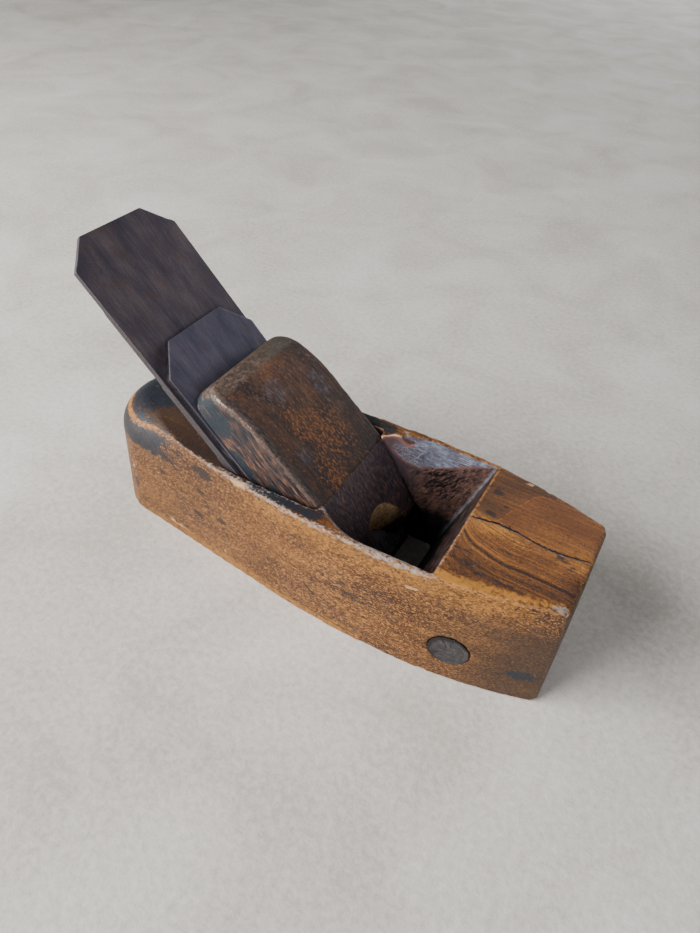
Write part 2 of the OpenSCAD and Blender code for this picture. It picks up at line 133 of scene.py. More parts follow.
# Places on the wedge, the same way, up the iron's face, across it and off it
EMBER_PLACES = [
    ((70, -3, 25), (20, 14, 8)), ((58, 8, 25), (14, 10, 8)), ((80, 6, 24), (12, 8, 8))]
WEDGE_STAIN_PLACES = [
    ((96, 4, 22), (16, 10, 8)), ((86, -16, 24), (14, 8, 8)), ((70, 14, 25), (10, 7, 6))]
WEDGE_PAINT_PLACES = [
    ((102, 25.5, 9.5), (13.5, 8, 8.5)), ((60, 25.5, 10), (13, 4, 6)), ((80, 25.5, 5), (12, 4, 3))]
# Painted glints on the wedge
WEDGE_GLINT_PLACES = [((104, 24, 18), (9, 6, 5)), ((92, 22, 22), (8, 6, 4))]
# The arch in the wedge's lower end: how far its middle lies off the wedge's own, and where its wall
# is looked for, across from there and up the iron's face
ARCH_OFF = 1.5 * MM
ARCH_HALF = 17 * MM
ARCH_FROM, ARCH_TO = 17.5 * MM, 34 * MM

# The camera: its turn, tilt and roll in degrees, its place and the nearest and farthest that it
# sees in metres, its focal length and the picture's height in pixels, and its sensor in millimetres
CAMERA_TURNS = (27.4526, 42.8318, 3.5881)
CAMERA_PLACE = (0.1027014, -0.1827134, 0.2477449)
CAMERA_SIGHT = (0.01, 20)
FOCAL_LENGTH = 701.68
PICTURE_HEIGHT = 933
SENSOR = 36
# Half the floor's side and the lights' aim, in metres
FLOOR_HALF = 4
LIGHT_AIM = (0, 0, 0.03)


def bench(along, off, foot):
    """Lays a piece flat: X along it, Y towards the near side and Z off its face."""
    turn = Matrix((along, Vector((0, -1, 0)), off)).transposed().to_4x4()
    return Matrix.Translation(foot) @ turn


FACE_BENCH = bench(UP_FACE, OFF_FACE, FACE_FOOT)


def cloud(points, size, seed):
    """Smooth random values of about -1 to 1 in lumps of the given size, in metres."""
    cells_across, layers, gain = 32, 3, 1.6
    rng = np.random.default_rng(seed)
    total, weight, weights = 0, 1.0, 0.0
    for _ in range(layers):
        cells = rng.random((cells_across,) * 3) * 2 - 1
        p = points / size + rng.random(3) * cells_across
        low = np.floor(p).astype(int)
        f = p - low
        f = f * f * (3 - 2 * f)
        low %= cells_across
        high = (low + 1) % cells_across
        value = 0
        for corner in np.ndindex(2, 2, 2):
            wx, wy, wz = (f[:, k] if far else 1 - f[:, k] for k, far in enumerate(corner))
            place = tuple((high if far else low)[:, k] for k, far in enumerate(corner))
            value = value + wx * wy * wz * cells[place]
        total = total + value * weight
        weights += weight
        weight *= 0.5
        size *= 0.5
    return total / weights * gain


def tone(red, green, blue):
    """A colour as it is seen, 0 to 255, made linear for a shader."""
    return tuple((v / 255) ** 2.2 for v in (red, green, blue))


def spots(points, places):
    """Up to 1 at the middle of each place and 0 from its edge on.
    A place is its middle and its half sizes along X, Y and Z, in millimetres."""
    best = np.zeros(len(points))
    for middle, half in places:
        away = np.sqrt((((points / MM - middle) / half) ** 2).sum(1))
        best = np.maximum(best, np.clip(1.5 * (1 - away), 0, 1))
    return best


def ease(low, high, values):
    """0 below low, 1 above high and a smooth rise between, or a fall where low is above high."""
    t = np.clip((values - low) / (high - low), 0, 1)
    return t * t * (3 - 2 * t)


def ease_mm(low, high, lengths):
    """The same rise for lengths in metres, with its limits in millimetres."""
    return ease(low * MM, high * MM, lengths)


def line_at(x, places):
    """The height at x, in metres, of straight lines through places in millimetres."""
    along, up = np.array(places, float).T
    return np.interp(x, along * MM, up * MM)


def placed(name, data):
    """A new object in the scene."""
    ob = bpy.data.objects.new(name, data)
    bpy.context.scene.collection.objects.link(ob)
    return ob


class Workpiece:
    """A dense copy of a CAD node that is worn and dented point by point."""

    def __init__(self, node, name, grid, frame_on_bench=None):
        self.bench = frame_on_bench or Matrix()
        start = frame["nodes"][node].data.copy()
        start.materials.clear()
        start.transform(self.bench.inverted())
        self.ob = placed(name, start)
        cut = self.ob.modifiers.new("cut", "REMESH")
        cut.mode = "VOXEL"
        cut.voxel_size = grid
        self.bake()
        self.node = node
        self.read()

    def bake(self):
        """Applies the modifiers to the mesh."""
        depsgraph = bpy.context.evaluated_depsgraph_get()
        made = bpy.data.meshes.new_from_object(self.ob.evaluated_get(depsgraph))
        self.ob.modifiers.clear()
        old = self.ob.data
        self.ob.data = made
        bpy.data.meshes.remove(old)

    def read(self):
        """Reads the points, and which of them share an edge."""
        me = self.ob.data
        n = len(me.vertices)
        self.co = np.empty(n * 3)
        me.vertices.foreach_get("co", self.co)
        self.co = self.co.reshape(-1, 3)
        pairs = np.empty(len(me.edges) * 2, int)
        me.edges.foreach_get("vertices", pairs)
        self.a, self.b = pairs.reshape(-1, 2).T
        neighbours = np.bincount(self.a, minlength=n) + np.bincount(self.b, minlength=n)
        self.share = np.maximum(neighbours, 1)

    def normals(self):
        me = self.ob.data
        me.vertices.foreach_set("co", self.co.ravel())
        me.update()
        out = np.empty(len(me.vertices) * 3)
        me.vertex_normals.foreach_get("vector", out)
        return out.reshape(-1, 3)

    def softened(self, rounds, co=None):
        """The points after a number of rounds of averaging with their neighbours."""
        co = (self.co if co is None else co).copy()
        n = len(co)
        for _ in range(rounds):
            near = np.stack([
                np.bincount(self.a, co[self.b, k], n) + np.bincount(self.b, co[self.a, k], n)
                for k in range(3)
            ], 1) / self.share[:, None]
            co += 0.5 * (near - co)
        return co

    def spread(self, rounds, values):
        """A value for each point after the same averaging."""
        return self.softened(rounds, np.stack([values.astype(float)] * 3, 1))[:, 0]

    def rounding(self, rounds):
        """How far each point stands out of, or lies below, the softened surface, in metres."""
        return ((self.co - self.softened(rounds)) * self.normals()).sum(1)

    def wear_down(self, rounds, share, most=1.0):
        """Moves each point by its share of the way to the softened surface."""
        self.co += (self.softened(rounds) - self.co) * share[:, None] * most

    def break_chips(self, size, seed, wear, depth):
        """Takes chips out of the worn places, with size and depth in millimetres."""
        chips = ease(0.35, 0.75, cloud(self.co, size * MM, seed)) * wear
        self.co -= self.normals() * (chips * depth * MM)[:, None]

    def mark(self, name, values):
        """Keeps a value for each point, which the materials read by name."""
        me = self.ob.data
        layer = me.attributes.new(name, "FLOAT", "POINT")
        layer.data.foreach_set("value", np.ascontiguousarray(values, np.float32))

    def mark_share(self, name, values):
        """The same, with each value held between 0 and 1."""
        self.mark(name, np.clip(values, 0, 1))

    def mark_face_places(self):
        """Keeps how far up the iron's face and off it each point lies, in millimetres."""
        self.mark("up_face", self.co[:, 0] / MM)
        self.mark("off_face", self.co[:, 2] / MM)

    def done(self, body, material):
        """Thins the mesh where it is too heavy, and puts it in the place of its CAD node."""
        me = self.ob.data
        me.vertices.foreach_set("co", self.co.ravel())
        me.update()
        triangles = sum(len(p.vertices) - 2 for p in me.polygons)
        if triangles > FACE_LIMIT:
            thin = self.ob.modifiers.new("thin", "DECIMATE")
            thin.ratio = FACE_LIMIT / triangles
            self.bake()
        me = self.ob.data
        me.transform(self.bench)
        me.materials.clear()
        me.materials.append(material)
        me.polygons.foreach_set("use_smooth", np.ones(len(me.polygons), bool))
        me.update()
        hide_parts(self.node)
        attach(self.ob, body)


# Shader nodes. A value may be a number, a colour or another node's output
def feed(tree, inputs, values):
    """Links the outputs among the values to their sockets, and sets the others."""
    for key, value in values.items():
        if isinstance(value, bpy.types.NodeSocket):
            tree.links.new(value, inputs[key])
        else:
            inputs[key].default_value = value


def put(tree, kind, sockets=None, **settings):
    node = tree.nodes.new(kind)
    for key, value in settings.items():
        setattr(node, key, value)
    feed(tree, node.inputs, sockets or {})
    return node


def calc(tree, operation, a, b=0.0, clamp=False):
    node = put(tree, "ShaderNodeMath", {0: a, 1: b}, operation=operation, use_clamp=clamp)
    return node.outputs[0]


def times(tree, a, b):
    return calc(tree, "MULTIPLY", a, b)


def plus(tree, a, b):
    return calc(tree, "ADD", a, b)


def minus(tree, a, b):
    return calc(tree, "SUBTRACT", a, b)


def mixed(tree, *parts):
    """The sum of values that each have a weight."""
    value, weight = parts[0]
    first = times(tree, value, weight)
    return plus(tree, first, mixed(tree, *parts[1:])) if parts[1:] else first


def swayed(tree, distance, noise, reach):
    """A distance that a noise moves to and fro."""
    return plus(tree, distance, times(tree, minus(tree, noise, 0.5), reach))


def blend(tree, amount, a, b):
    return put(tree, "ShaderNodeMix", {0: amount, 6: a, 7: b}, data_type="RGBA").outputs[2]


def step(tree, value, low, high):
    """A smooth step from 0 to 1 as value goes from low to high."""
    sockets = {0: value, 1: low, 2: high}
    return put(tree, "ShaderNodeMapRange", sockets, interpolation_type="SMOOTHSTEP").outputs[0]


def stripe(tree, distance, edge, core):
    """1 within the core on both sides of a line, and 0 from its edge on."""
    return step(tree, calc(tree, "ABSOLUTE", distance), edge, core)


def lumps(tree, vector, scale, detail=3.0, rough=0.55, bend=0.0):
    sockets = {
        "Vector": vector, "Scale": scale, "Detail": detail, "Roughness": rough, "Distortion": bend}
    return put(tree, "ShaderNodeTexNoise", sockets).outputs[0]


def stretched(tree, vector, scale, turn=(0, 0, 0), shift=(0, 0, 0)):
    sockets = {"Vector": vector, "Scale": scale, "Rotation": turn, "Location": shift}
    return put(tree, "ShaderNodeMapping", sockets).outputs[0]


def shades(tree, amount, *stops):
    """A colour for each amount, from pairs of place and colour."""
    node = put(tree, "ShaderNodeValToRGB", {0: amount})
    ramp = node.color_ramp
    while len(ramp.elements) < len(stops):
        ramp.elements.new(0.5)
    for element, (place, colour) in zip(ramp.elements, stops):
        element.position = place
        element.color = (*colour, 1)
    return node.outputs[0]


def kept(tree, name):
    return put(tree, "ShaderNodeAttribute", attribute_name=name).outputs["Fac"]


def in_mm(tree):
    """The piece's own coordinates in millimetres."""
    place = put(tree, "ShaderNodeTexCoord").outputs["Object"]
    return stretched(tree, place, (1000, 1000, 1000))


def parts_of(tree, vector):
    """X, Y and Z of a vector."""
    return put(tree, "ShaderNodeSeparateXYZ", {0: vector}).outputs


def joined(tree, x, y, z):
    return put(tree, "ShaderNodeCombineXYZ", {0: x, 1: y, 2: z}).outputs[0]


def drawn_line(tree, x, places):
    """The height of a line drawn through the places, for each x between its ends."""
    first, last = places[0][0], places[-1][0]
    share = calc(tree, "DIVIDE", minus(tree, x, first), last - first, clamp=True)
    node = put(tree, "ShaderNodeFloatCurve", {1: share})
    points = node.mapping.curves[0].points
    while len(points) < len(places):
        points.new(0.5, 0.5)
    for point, (along, up) in zip(points, places):
        point.location = ((along - first) / (last - first), up / LINE_REACH + 0.5)
    node.mapping.update()
    return times(tree, minus(tree, node.outputs[0], 0.5), LINE_REACH)


def coat(tree, share, under, colour, most=1.0):
    """Lays a colour, 0 to 255, over another where share is 1."""
    if most != 1.0:
        share = times(tree, share, most)
    return blend(tree, share, under, (*tone(*colour), 1))


def relief(tree, height, distance, strength):
    sockets = {"Height": height, "Distance": distance, "Strength": strength}
    return put(tree, "ShaderNodeBump", sockets).outputs[0]


def group(name, inputs, outputs, build):
    """A shader node group, built once. Inputs are pairs of name and default value."""
    tree = bpy.data.node_groups.new(name, "ShaderNodeTree")
    for key, value in inputs:
        kind = "NodeSocketVector" if isinstance(value, tuple) else "NodeSocketFloat"
        socket = tree.interface.new_socket(key, in_out="INPUT", socket_type=kind)
        socket.default_value = value
    for key in outputs:
        tree.interface.new_socket(key, in_out="OUTPUT", socket_type="NodeSocketFloat")
    source = tree.nodes.new("NodeGroupInput").outputs
    sink = tree.nodes.new("NodeGroupOutput").inputs
    for key, value in build(tree, source).items():
        tree.links.new(value, sink[key])
    return tree


def use(tree, made, **sockets):
    """Puts a group to work. An underscore stands for a space in a socket's name."""
    node = tree.nodes.new("ShaderNodeGroup")
    node.node_tree = made
    feed(tree, node.inputs, {key.replace("_", " "): value for key, value in sockets.items()})
    return node.outputs


def build_grain(tree, given):
    def along_grain(length, width):
        across = calc(tree, "DIVIDE", 1.0, given[width])
        scale = joined(tree, calc(tree, "DIVIDE", 1.0, given[length]), across, across)
        sockets = {0: given["Vector"], 1: scale}
        return put(tree, "ShaderNodeVectorMath", sockets, operation="MULTIPLY").outputs[0]

    streaks = lumps(tree, along_grain("Streak Length", "Streak Width"), 1.0, 5.0, 0.6, 0.35)
    at = along_grain("Fleck Length", "Fleck Width")
    dark = step(tree, lumps(tree, at, 1.0, 2.0, 0.5), 0.52, 0.66)
    fibre = lumps(tree, at, 3.0, 3.0, 0.6)
    height = minus(tree, times(tree, fibre, 0.5), times(tree, dark, 0.6))
    return {"Streaks": streaks, "Flecks": dark, "Fibre": fibre, "Height": height}


GRAIN = group(
    "wood_grain",
    [("Vector", (0.0, 0.0, 0.0)), ("Streak Length", 40.0), ("Streak Width", 2.0),
     ("Fleck Length", 2.5), ("Fleck Width", 0.5)],
    ["Streaks", "Flecks", "Fibre", "Height"], build_grain)


def build_patches(tree, given):
    rough = lumps(tree, given["Vector"], given["Scale"], 4.0, 0.62, 0.3)
    centred = times(tree, minus(tree, rough, 0.5), given["Break Up"])
    low, high = minus(tree, 0.5, given["Edge"]), plus(tree, 0.5, given["Edge"])
    mask = step(tree, plus(tree, given["Region"], centred), low, high)
    return {"Mask": times(tree, mask, step(tree, given["Region"], 0.0, 0.2))}


PATCHES = group(
    "broken_patches",
    [("Vector", (0.0, 0.0, 0.0)), ("Region", 0.0), ("Scale", 0.3), ("Break Up", 1.0),
     ("Edge", 0.08)],
    ["Mask"], build_patches)


def build_dents(tree, given):
    warp = put(tree, "ShaderNodeTexNoise", {"Vector": given["Vector"], "Scale": 0.4}).outputs[1]
    sockets = {0: given["Vector"], 1: warp}
    warped = put(tree, "ShaderNodeVectorMath", sockets, operation="ADD").outputs[0]
    cells = put(tree, "ShaderNodeTexVoronoi", {"Vector": warped, "Scale": given["Scale"]})
    pick = put(tree, "ShaderNodeSeparateColor", {0: cells.outputs["Color"]}).outputs[0]
    some = calc(tree, "LESS_THAN", pick, given["Share"])
    dent = minus(tree, 1.0, step(tree, cells.outputs["Distance"], 0.05, given["Size"]))
    mask = times(tree, dent, some)
    return {"Mask": mask, "Height": times(tree, mask, -1.0)}


DENTS = group(
    "small_dents",
    [("Vector", (0.0, 0.0, 0.0)), ("Scale", 0.2), ("Share", 0.4), ("Size", 0.2)],
    ["Mask", "Height"], build_dents)


def build_scratches(tree, given):
    total = None
    for turn, seed in ((0.5, 3.0), (-0.7, 17.0), (1.3, 41.0)):
        at = stretched(
            tree, given["Vector"], (0.03, 0.9, 0.9), (turn * 0.3, turn, turn), (seed,) * 3)
        sockets = {"Vector": at, "Scale": given["Scale"]}
        cells = put(tree, "ShaderNodeTexVoronoi", sockets, feature="DISTANCE_TO_EDGE")
        thin = minus(tree, 1.0, step(tree, cells.outputs["Distance"], 0.0, 0.025))
        patchy = step(tree, lumps(tree, given["Vector"], 0.09, 2.0), 0.52, 0.62)
        line = times(tree, thin, patchy)
        total = line if total is None else calc(tree, "MAXIMUM", total, line)
    return {"Mask": times(tree, total, given["Amount"])}


SCRATCHES = group(
    "fine_scratches", [("Vector", (0.0, 0.0, 0.0)), ("Scale", 0.5), ("Amount", 1.0)],
    ["Mask"], build_scratches)


def wood(tree, at, streak, fleck):
    """Grain with streaks and flecks of a length and a width."""
    return use(tree, GRAIN, Vector=at, Streak_Length=streak[0], Streak_Width=streak[1],
               Fleck_Length=fleck[0], Fleck_Width=fleck[1])


def patches(tree, at, region, scale, break_up, edge):
    """A mask of ragged patches, where the region is a mark's name or a number."""
    if isinstance(region, str):
        region = kept(tree, region)
    return use(tree, PATCHES, Vector=at, Region=region, Scale=scale, Break_Up=break_up,
               Edge=edge)["Mask"]


def scratches(tree, at, scale, amount):
    return use(tree, SCRATCHES, Vector=at, Scale=scale, Amount=amount)["Mask"]


def finish(name, build):
    """A material on the Principled shader. build gives the values and links of its sockets."""
    material = bpy.data.materials.new(name)
    material.use_nodes = True
    tree = material.node_tree
    tree.nodes.clear()
    shader = tree.nodes.new("ShaderNodeBsdfPrincipled")
    out = tree.nodes.new("ShaderNodeOutputMaterial")
    tree.links.new(shader.outputs[0], out.inputs[0])
    feed(tree, shader.inputs, build(tree))
    return material


def throat_lining(tree, at, x):
    """The dark walls of the throat, with gouges in the far cheek, and sooty black below that is
    also painted shade, deepening towards the mouth.
    """
    slanted = stretched(tree, stretched(tree, at, (1, 1, 1), (0, 0.9, 0)), (0.3, 1, 1))
    lining = shades(
        tree, lumps(tree, slanted, 1.2, 4.0, 0.65, 0.3),
        (0.36, tone(50, 38, 39)), (0.5, tone(86, 66, 62)), (0.66, tone(124, 90, 74)))
    lining = coat(tree, patches(tree, slanted, "gouges", 0.9, 3.0, 0.2), lining, (16, 14, 16))
    lining = coat(tree, step(tree, x, 34.0, 16.0), lining, (66, 56, 64))
    # sooty black with painted shade, deepest low in the throat
    return coat(tree, patches(tree, at, "soot_and_shade", 0.2, 1.7, 0.3), lining, (20, 19, 22))


def splay_tones(tree, at, x, brushed):
    """The slate coloured splay of the cheeks, whose blue-grey is a painted sheen, browner towards
    its eye.
    """
    cloudy = mixed(tree, (brushed, 0.5), (lumps(tree, at, 0.16, 3.0), 0.5))
    colour = shades(
        tree, cloudy,
        (0.38, tone(54, 47, 57)), (0.5, tone(78, 80, 94)), (0.62, tone(108, 118, 136)))
    towards_eye = step(tree, plus(tree, x, times(tree, brushed, 14.0)), 37.0, 20.0)
    colour = coat(tree, towards_eye, colour, (78, 56, 62))
    return coat(tree, scratches(tree, at, 0.7, 0.9), colour, (168, 172, 186), 0.6)


def tongue_marks(tree, at, x, y, on_toe, from_crack, colour):
    """The smooth tongue in the grain beyond the crack, and the rougher wood beside it."""
    from_tongue = minus(tree, y, drawn_line(tree, x, TONGUE))
    beyond = times(tree, on_toe, step(tree, from_crack, 0.0, 0.6))
    tongue = times(tree, beyond, step(tree, from_tongue, 0.6, -0.6))
    rough_top = times(tree, beyond, step(tree, from_tongue, -0.6, 0.6))
    colour = coat(tree, tongue, colour, (108, 66, 38), 0.5)
    colour = coat(tree, rough_top, colour, (84, 58, 38), 0.35)
    ragged = step(tree, lumps(tree, at, 0.35, 3.0), 0.42, 0.6)
    edge = times(tree, stripe(tree, from_tongue, 0.9, 0.1), ragged)
    return coat(tree, times(tree, edge, beyond), colour, (178, 112, 52), 0.5)


def split_marks(tree, x, y, brushed, colour):
    """The split at the eye of the far cheek: pale as a painted highlight up to X 15 and dark
    beyond, with an orange line of worn edge and painted highlight beside it.
    """
    from_split = minus(tree, y, drawn_line(tree, x, SPLIT))
    eye = kept(tree, "eye")
    split = times(tree, stripe(tree, swayed(tree, from_split, brushed, 2.2), 0.5, 0.2), eye)
    split_dark_and_highlight = blend(
        tree, step(tree, x, 15.0, 17.5), (*tone(226, 196, 176), 1), (*tone(70, 40, 34), 1))
    colour = blend(tree, split, colour, split_dark_and_highlight)
    worn_edge_highlight = times(tree, stripe(tree, plus(tree, from_split, 0.7), 0.5, 0.2), eye)
    return coat(tree, worn_edge_highlight, colour, (150, 84, 56), 0.5)


def side_marks(tree, at, x, z, broad, near_side, colour):
    """The seam and the scratch on the near side."""
    for places, core, reach in ((SEAM, 0.26, 0.5), (SCRATCH, 0.5, 0.8)):
        off_line = swayed(tree, minus(tree, z, drawn_line(tree, x, places)), broad, 3.0)
        drawn = times(tree, stripe(tree, off_line, reach, core), near_side)
        first, last = places[0][0], places[-1][0]
        ends = times(tree, step(tree, x, first, first + 1.5), step(tree, x, last, last - 1.5))
        broken = step(tree, lumps(tree, at, 0.25, 3.0), 0.4, 0.5)
        drawn = times(tree, times(tree, drawn, ends), broken)
        colour = coat(tree, drawn, colour, (34, 28, 28), 0.8)
    return colour


def stock_finish(tree):
    at = in_mm(tree)
    x, y, z = parts_of(tree, at)
    top = kept(tree, "top")
    inside = kept(tree, "inside")
    toe = step(tree, x, 50.0, 58.0)
    on_toe = times(tree, top, toe)
    # coordinates that draw marks out along the stock, most of all the first
    long_05, long_06, long_07 = (stretched(tree, at, (s, 1, 1)) for s in (0.5, 0.6, 0.7))

    # the grain runs along the stock, and bends with the shake at the toe
    shake_y = drawn_line(tree, x, SHAKE)
    from_middle = stripe(tree, plus(tree, y, 8.0), 26.0, 4.0)
    bend = times(tree, plus(tree, shake_y, 14.5), from_middle)
    bent = joined(tree, x, minus(tree, y, bend), z)
    grain = wood(tree, bent, (60.0, 3.2), (1.1, 0.4))
    lines = wood(tree, bent, (38.0, 0.9), (6.0, 0.5))
    broad = lumps(tree, stretched(tree, at, (0.45, 1, 1)), 0.045, 3.0, 0.5, 0.4)
    speck = lumps(tree, stretched(tree, bent, (0.7, 1.9, 1.9), (0, 0, 0.06)), 1.6, 3.0, 0.75, 0.8)
    colour = shades(
        tree, mixed(tree, (grain["Streaks"], 0.22), (broad, 0.30), (speck, 0.48)),
        (0.38, tone(46, 30, 22)), (0.46, tone(84, 53, 31)), (0.53, tone(122, 79, 43)),
        (0.62, tone(176, 121, 64)))
    dusky = patches(tree, long_05, 0.42, 0.07, 1.8, 0.25)
    colour = coat(tree, dusky, colour, (84, 58, 48), 0.5)
    topside = shades(
        tree, mixed(tree, (lines["Streaks"], 0.28), (broad, 0.38), (speck, 0.34)),
        (0.38, tone(44, 29, 21)), (0.46, tone(86, 54, 32)), (0.53, tone(130, 83, 43)),
        (0.60, tone(186, 126, 60)))
    colour = blend(tree, top, colour, topside)

    # the smooth tongue in the grain beyond the crack
    from_crack = minus(tree, y, drawn_line(tree, x, CRACK))
    colour = tongue_marks(tree, at, x, y, on_toe, from_crack, colour)

    # flecks of the rays, dark and light
    flank = step(tree, top, 0.9, 0.1)
    dots = lumps(tree, stretched(tree, bent, (0.5, 1.25, 1.25), (0, 0.12, 0)), 1.7, 2.0, 0.6, 0.6)
    dark_dots = times(tree, step(tree, dots, 0.52, 0.6), flank)
    light_dots = times(tree, step(tree, dots, 0.46, 0.36), flank)
    colour = coat(tree, grain["Flecks"], colour, (52, 30, 20), 0.6)
    colour = coat(tree, dark_dots, colour, (46, 28, 20), 0.72)
    colour = coat(tree, light_dots, colour, (218, 156, 88), 0.5)

    # the toe's dark shake and the gold beside it, then the golden bands and the shade
    from_shake = minus(tree, y, shake_y)
    shake = stripe(tree, swayed(tree, from_shake, lines["Fibre"], 3.4), 1.1, 0.3)
    beside = times(
        tree, stripe(tree, minus(tree, from_shake, 1.6), 1.0, 0.2), step(tree, x, 90.0, 66.0))
    colour = coat(tree, times(tree, beside, on_toe), colour, (190, 124, 54), 0.4)
    colour = coat(tree, times(tree, shake, on_toe), colour, (40, 27, 24), 0.85)
    gold = patches(tree, at, "gold", 0.5, 1.8, 0.3)
    gold = times(tree, gold, plus(tree, 0.36, times(tree, top, 0.24)))
    colour = coat(tree, gold, colour, (204, 140, 62))
    colour = coat(tree, kept(tree, "shade"), colour, (58, 44, 35), 0.78)

    # dark stains and slate coloured paint, then the throat and the splays
    stain = patches(tree, long_05, "stain", 0.5, 2.6, 0.2)
    colour = coat(tree, stain, colour, (47, 39, 37), 0.92)
    colour = coat(tree, patches(tree, at, "paint", 0.45, 2.2, 0.1), colour, (34, 40, 48), 0.92)
    colour = blend(tree, inside, colour, throat_lining(tree, at, x))
    # the splays, slate blue-grey as a painted sheen
    splay = kept(tree, "splay")
    brushed = lumps(tree, stretched(tree, at, (0.3, 1, 1), (0, 0, 0.5)), 1.1, 4.0, 0.7)
    colour = blend(tree, splay, colour, splay_tones(tree, at, x, brushed))
    ridge = times(tree, kept(tree, "ridge"), step(tree, lumps(tree, at, 0.5, 3.0), 0.36, 0.5))
    colour = coat(tree, ridge, colour, (112, 68, 52), 0.5)
    # a painted highlight, pale blue-grey, along the concave corner between the cheeks and the
    # breast
    corner = times(tree, times(tree, kept(tree, "hollow"), inside), step(tree, x, 40.0, 48.0))
    colour = coat(tree, corner, colour, (120, 132, 144), 0.5)
    colour = split_marks(tree, x, y, brushed, colour)

    # golden wear on the arrises, grime on the rims and heel, pale wear and painted highlights,
    # chips
    for mark, place, scale, break_up, soft_edge, worn_tone, most in (
            ("wear", at, 0.7, 2.2, 0.2, (178, 124, 70), 0.5),
            ("grime", long_07, 0.9, 2.4, 0.14, (42, 36, 36), 0.85),
            ("pale", long_06, 1.0, 3.4, 0.2, (158, 148, 142), 0.72),
            ("chip", long_06, 0.6, 2.2, 0.12, (196, 156, 112), 0.75)):
        share = patches(tree, place, mark, scale, break_up, soft_edge)
        colour = coat(tree, share, colour, worn_tone, most)

    # the seam and the scratch on the near side
    near_side = times(tree, flank, step(tree, y, -20.0, -28.0))
    colour = side_marks(tree, at, x, z, broad, near_side, colour)
    pits = use(tree, DENTS, Vector=long_05, Scale=0.2, Share=0.2, Size=0.22)
    colour = coat(tree, pits["Mask"], colour, (44, 32, 28), 0.75)

    # the crack along the toe
    crack = stripe(tree, swayed(tree, from_crack, lumps(tree, at, 0.5, 3.0), 1.6), 0.62, 0.3)
    crack = times(tree, crack, on_toe)
    colour = coat(tree, crack, colour, (24, 26, 34), 0.95)
    height = plus(tree, times(tree, grain["Height"], 0.7), pits["Height"])
    height = minus(tree, height, times(tree, crack, 3.0))
    dull = minus(tree, 0.6, times(tree, grain["Fibre"], 0.22))
    return {
        "Base Color": colour, "Specular IOR Level": 0.34,
        "Roughness": minus(tree, dull, times(tree, splay, 0.12)),
        "Normal": relief(tree, height, 0.00025, 0.7),
    }


def on_face(tree):
    """Millimetres up the iron's face, across it and off it, for pieces that lie on it."""
    across = parts_of(tree, in_mm(tree))[1]
    return joined(tree, kept(tree, "up_face"), across, kept(tree, "off_face"))


def wedge_finish(tree):
    at = on_face(tree)
    grain = wood(tree, at, (16.0, 1.1), (1.2, 0.5))
    strands = wood(tree, at, (5.0, 0.6), (1.6, 0.5))
    broad = lumps(tree, stretched(tree, at, (0.6, 1, 1)), 0.07, 3.0, 0.55, 0.5)
    colour = shades(
        tree, mixed(tree, (grain["Streaks"], 0.5), (broad, 0.5)),
        (0.38, tone(30, 23, 26)), (0.48, tone(62, 42, 34)), (0.56, tone(90, 58, 40)),
        (0.66, tone(124, 80, 46)))

    # orange flecks, thickest in the ember places
    slanted = stretched(tree, at, (0.55, 1, 1), (0, 0, 0.3))
    colour = coat(
        tree, patches(tree, slanted, "ember", 1.2, 2.6, 0.14), colour, (184, 112, 50), 0.62)
    colour = coat(tree, grain["Flecks"], colour, (40, 26, 24), 0.6)

    # the sides, the lower part of the front, and the top end
    side = patches(tree, stretched(tree, at, (0.3, 1, 1)), "side", 0.6, 1.0, 0.12)
    side_tone = shades(
        tree, strands["Streaks"], (0.40, tone(30, 33, 40)), (0.48, tone(50, 46, 49)),
        (0.57, tone(78, 60, 54)), (0.64, tone(122, 80, 56)), (0.7, tone(134, 112, 100)))
    colour = blend(tree, side, colour, side_tone)
    lower = patches(tree, at, "stain", 0.4, 1.4, 0.16)
    lower_tone = shades(
        tree, strands["Streaks"], (0.40, tone(54, 47, 56)), (0.52, tone(88, 77, 85)),
        (0.60, tone(112, 95, 94)), (0.66, tone(160, 108, 74)))
    colour = blend(tree, times(tree, lower, 0.88), colour, lower_tone)
    end = patches(tree, at, "end", 0.6, 1.3, 0.25)
    end_tone = shades(
        tree, lumps(tree, stretched(tree, at, (1, 0.5, 1)), 0.8, 4.0, 0.7),
        (0.38, tone(46, 40, 38)), (0.52, tone(88, 76, 66)), (0.66, tone(132, 104, 90)))
    across = parts_of(tree, at)[1]
    end_tone = coat(tree, step(tree, across, 0.0, 14.0), end_tone, (74, 70, 60), 0.7)
    colour = blend(tree, times(tree, end, 0.85), colour, end_tone)

    # the worn arrises, paint, painted glints, scratches, and the wall of the arch painted light as
    # if lit
    band = patches(tree, at, "wear", 0.7, 2.2, 0.25)
    band_tone = shades(tree, strands["Fibre"], (0.4, tone(62, 52, 50)), (0.6, tone(142, 116, 102)))
    colour = blend(tree, times(tree, band, 0.62), colour, band_tone)
    colour = coat(tree, patches(tree, at, "paint", 0.7, 1.1, 0.1), colour, (36, 47, 55), 0.94)
    # pale wear on the arrises, and painted glints
    pale = patches(tree, at, "pale", 1.0, 2.4, 0.12)
    colour = coat(tree, pale, colour, (176, 168, 164), 0.75)
    colour = coat(tree, scratches(tree, at, 0.35, 0.5), colour, (140, 112, 90), 0.6)
    # the arch's end grain painted far lighter than the wood, as painted light
    arch_painted_light = shades(
        tree, lumps(tree, stretched(tree, at, (1, 1, 0.2)), 0.9, 3.0, 0.6),
        (0.36, tone(190, 146, 96)), (0.6, tone(255, 220, 168)))
    colour = blend(tree, times(tree, kept(tree, "arch"), 0.94), colour, arch_painted_light)
    return {
        "Base Color": colour, "Specular IOR Level": 0.4,
        "Roughness": minus(tree, 0.56, times(tree, grain["Fibre"], 0.2)),
        "Normal": relief(tree, grain["Height"], 0.0003, 0.7),
    }


